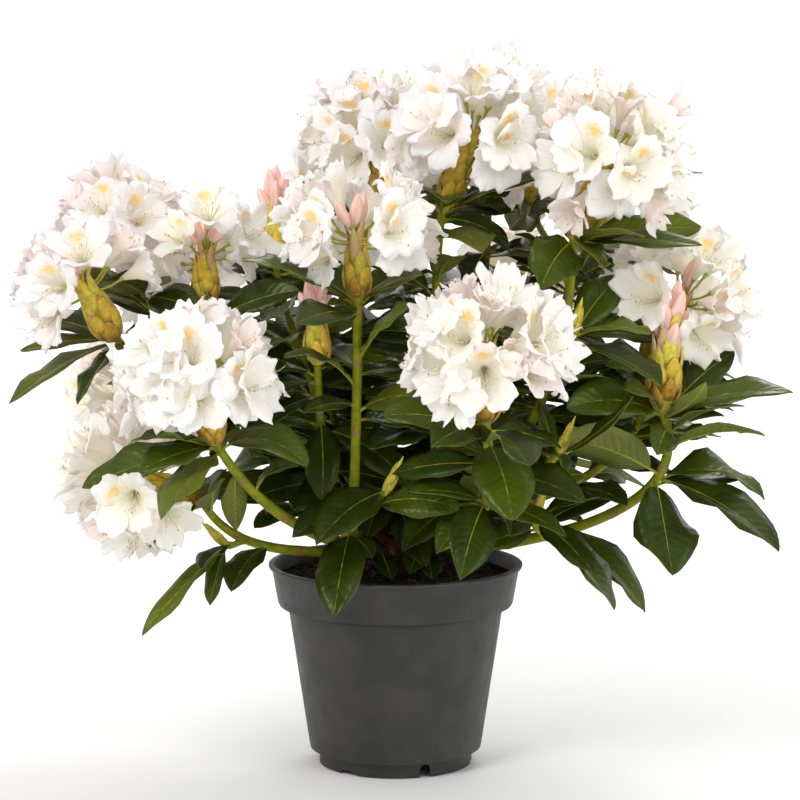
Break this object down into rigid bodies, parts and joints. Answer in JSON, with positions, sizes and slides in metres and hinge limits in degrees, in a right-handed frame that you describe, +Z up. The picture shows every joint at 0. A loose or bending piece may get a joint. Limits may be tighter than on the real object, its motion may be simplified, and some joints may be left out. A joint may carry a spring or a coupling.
{
  "type": "potted rhododendron",
  "caption": "Large-leaved evergreen rhododendron with white flower trusses, growing in a round dark plastic nursery pot filled with compost.",
  "frame": {"origin": "middle of the pot's flat underside, on the ground", "axes": "+Z up along the pot's axis, -Y towards the plant's front, +X to the right seen from the front"},
  "size_m": [0.6748, 0.5499, 0.6465],
  "materials": {
    "pot_plastic": "satin charcoal, moulded, slightly mottled",
    "compost": "rough dark granular peat and bark",
    "bark": "rough brown bark, green towards the tips",
    "foliage": "leathery dark green leaves and white petals"
  },
  "bodies": {
    "root": {"pot": "pot_plastic", "compost": "compost", "trunk": "bark", "bough_back_left": "bark", "bough_back_mid": "bark", "bough_back_right": "bark", "bough_centre": "bark", "bough_far_left": "bark", "bough_front_left": "bark", "bough_inner_left": "bark", "bough_inner_right": "bark", "bough_low_left": "bark", "bough_mid_front": "bark", "bough_mid_left": "bark", "bough_right": "bark", "bough_right_back": "bark", "bough_right_high": "bark", "bough_top_back": "bark", "bough_top_left": "bark", "bough_top_mid": "bark", "bough_top_right": "bark", "mass_back_left": "foliage", "mass_back_mid": "foliage", "mass_back_right": "foliage", "mass_centre": "foliage", "mass_far_left": "foliage", "mass_foot_left": "foliage", "mass_front_left": "foliage", "mass_inner_left": "foliage", "mass_inner_right": "foliage", "mass_low_left": "foliage", "mass_mid_front": "foliage", "mass_mid_left": "foliage", "mass_right": "foliage", "mass_right_back": "foliage", "mass_right_high": "foliage", "mass_right_low": "foliage", "mass_top_back": "foliage", "mass_top_left": "foliage", "mass_top_mid": "foliage", "mass_top_right": "foliage"}
  },
  "joints": []
}
